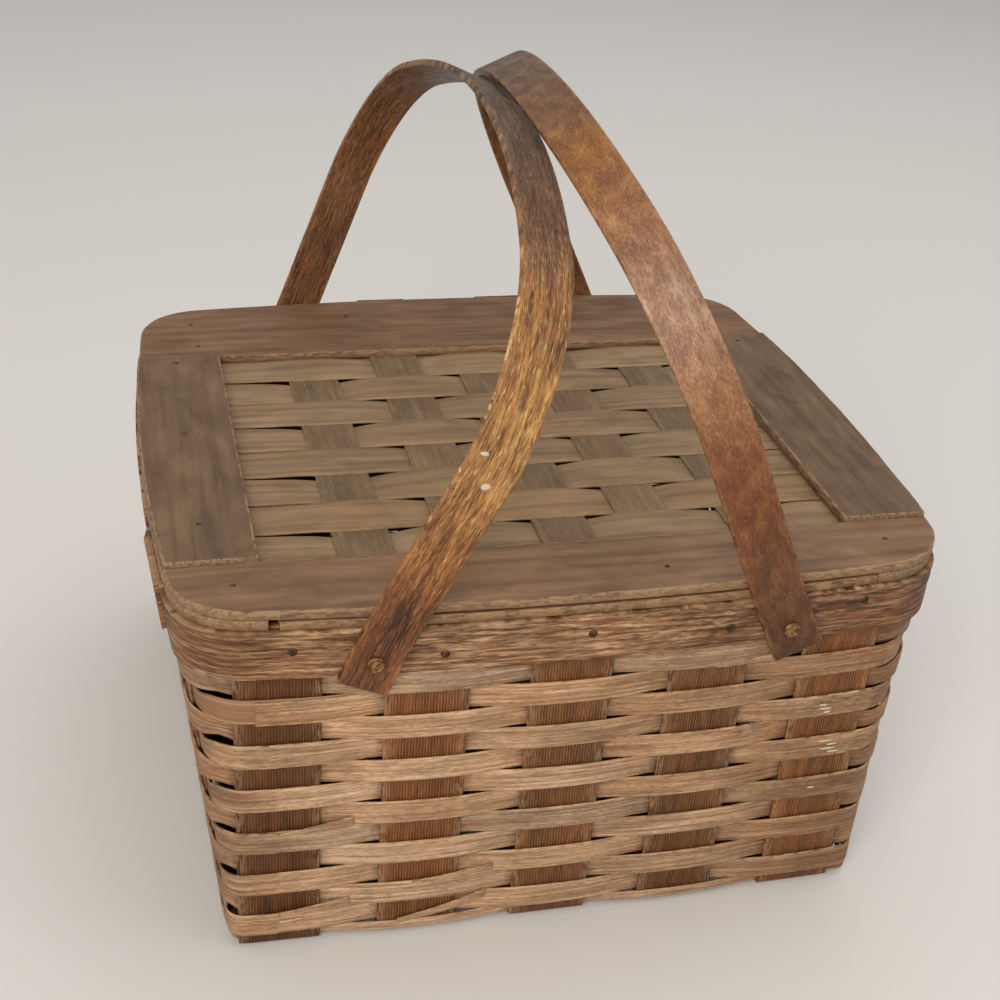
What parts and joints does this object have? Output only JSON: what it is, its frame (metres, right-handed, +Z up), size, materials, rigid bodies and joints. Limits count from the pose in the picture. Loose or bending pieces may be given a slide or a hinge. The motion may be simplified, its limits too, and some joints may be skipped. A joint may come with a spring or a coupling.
{
  "type": "picnic basket",
  "caption": "Woven wooden splint picnic basket with a tapered plaited body, a framed and woven hinged lid, and two bentwood handles that swing on rivets.",
  "frame": {"origin": "on the surface that the basket stands on, under the middle of the basket", "axes": "+Z up, the front wall faces -Y and the lid's hinges are at +Y, +X points to the right seen from the front; the left and right handles pivot about lines along Y"},
  "size_m": [0.371, 0.3756, 0.3699],
  "materials": {
    "stake_splint": "dark reddish brown splint, strong vertical grain, satin",
    "weaver_splint": "golden brown split ash, fine grain, satin",
    "rim_wood": "bent ash band, worn varnish, satin",
    "handle_wood": "bent ash band, glossy orange brown varnish",
    "lid_slat": "weathered greyish brown board, matte",
    "lid_splint": "light weathered splint, matte",
    "lid_cross_splint": "darker weathered splint, matte",
    "rivet_metal": "dull aged steel, slightly rusted",
    "nail_metal": "dull small nails",
    "hinge_metal": "dull aged brass plate"
  },
  "bodies": {
    "basket": {"cross_stake_1": "stake_splint", "cross_stake_2": "stake_splint", "cross_stake_3": "stake_splint", "cross_stake_4": "stake_splint", "cross_stake_5": "stake_splint", "handle_rivets": "rivet_metal", "handle_washers": "rivet_metal", "hinge_fixed_leaves": "hinge_metal", "hinge_fixed_nails": "nail_metal", "hinge_pins": "hinge_metal", "long_stake_1": "stake_splint", "long_stake_2": "stake_splint", "long_stake_3": "stake_splint", "long_stake_4": "stake_splint", "long_stake_5": "stake_splint", "rim_inner_band": "rim_wood", "rim_nails": "nail_metal", "rim_outer_band": "rim_wood", "weaver_01": "weaver_splint", "weaver_02": "weaver_splint", "weaver_03": "weaver_splint", "weaver_04": "weaver_splint", "weaver_05": "weaver_splint", "weaver_06": "weaver_splint", "weaver_07": "weaver_splint", "weaver_08": "weaver_splint", "weaver_09": "weaver_splint", "weaver_10": "weaver_splint", "weaver_11": "weaver_splint", "weaver_12": "weaver_splint", "weaver_13": "weaver_splint"},
    "lid": {"hinge_lid_leaves": "hinge_metal", "hinge_lid_nails": "nail_metal", "lid_cross_splint_1": "lid_cross_splint", "lid_cross_splint_2": "lid_cross_splint", "lid_cross_splint_3": "lid_cross_splint", "lid_cross_splint_4": "lid_cross_splint", "lid_cross_splint_5": "lid_cross_splint", "lid_lower_back_slat": "lid_slat", "lid_lower_front_slat": "lid_slat", "lid_lower_left_slat": "lid_slat", "lid_lower_right_slat": "lid_slat", "lid_nails": "nail_metal", "lid_splint_1": "lid_splint", "lid_splint_2": "lid_splint", "lid_splint_3": "lid_splint", "lid_splint_4": "lid_splint", "lid_splint_5": "lid_splint", "lid_splint_6": "lid_splint", "lid_splint_7": "lid_splint", "lid_splint_8": "lid_splint", "lid_upper_back_slat": "lid_slat", "lid_upper_front_slat": "lid_slat", "lid_upper_left_slat": "lid_slat", "lid_upper_right_slat": "lid_slat"},
    "left_handle": {"left_handle": "handle_wood"},
    "right_handle": {"right_handle": "handle_wood"}
  },
  "joints": [
    {"name": "lid_hinge", "type": "hinge", "parent": "basket", "child": "lid", "pos_m": [0, 0.17171, 0.184], "axis": [-1, 0, 0], "range_deg": [0, 23]},
    {"name": "left_handle_swing", "type": "hinge", "parent": "basket", "child": "left_handle", "pos_m": [-0.094, 0, 0.166], "axis": [0, -1, 0], "range_deg": [0, 158]},
    {"name": "right_handle_swing", "type": "hinge", "parent": "basket", "child": "right_handle", "pos_m": [0.094, 0, 0.166], "axis": [0, 1, 0], "range_deg": [0, 158]}
  ]
}
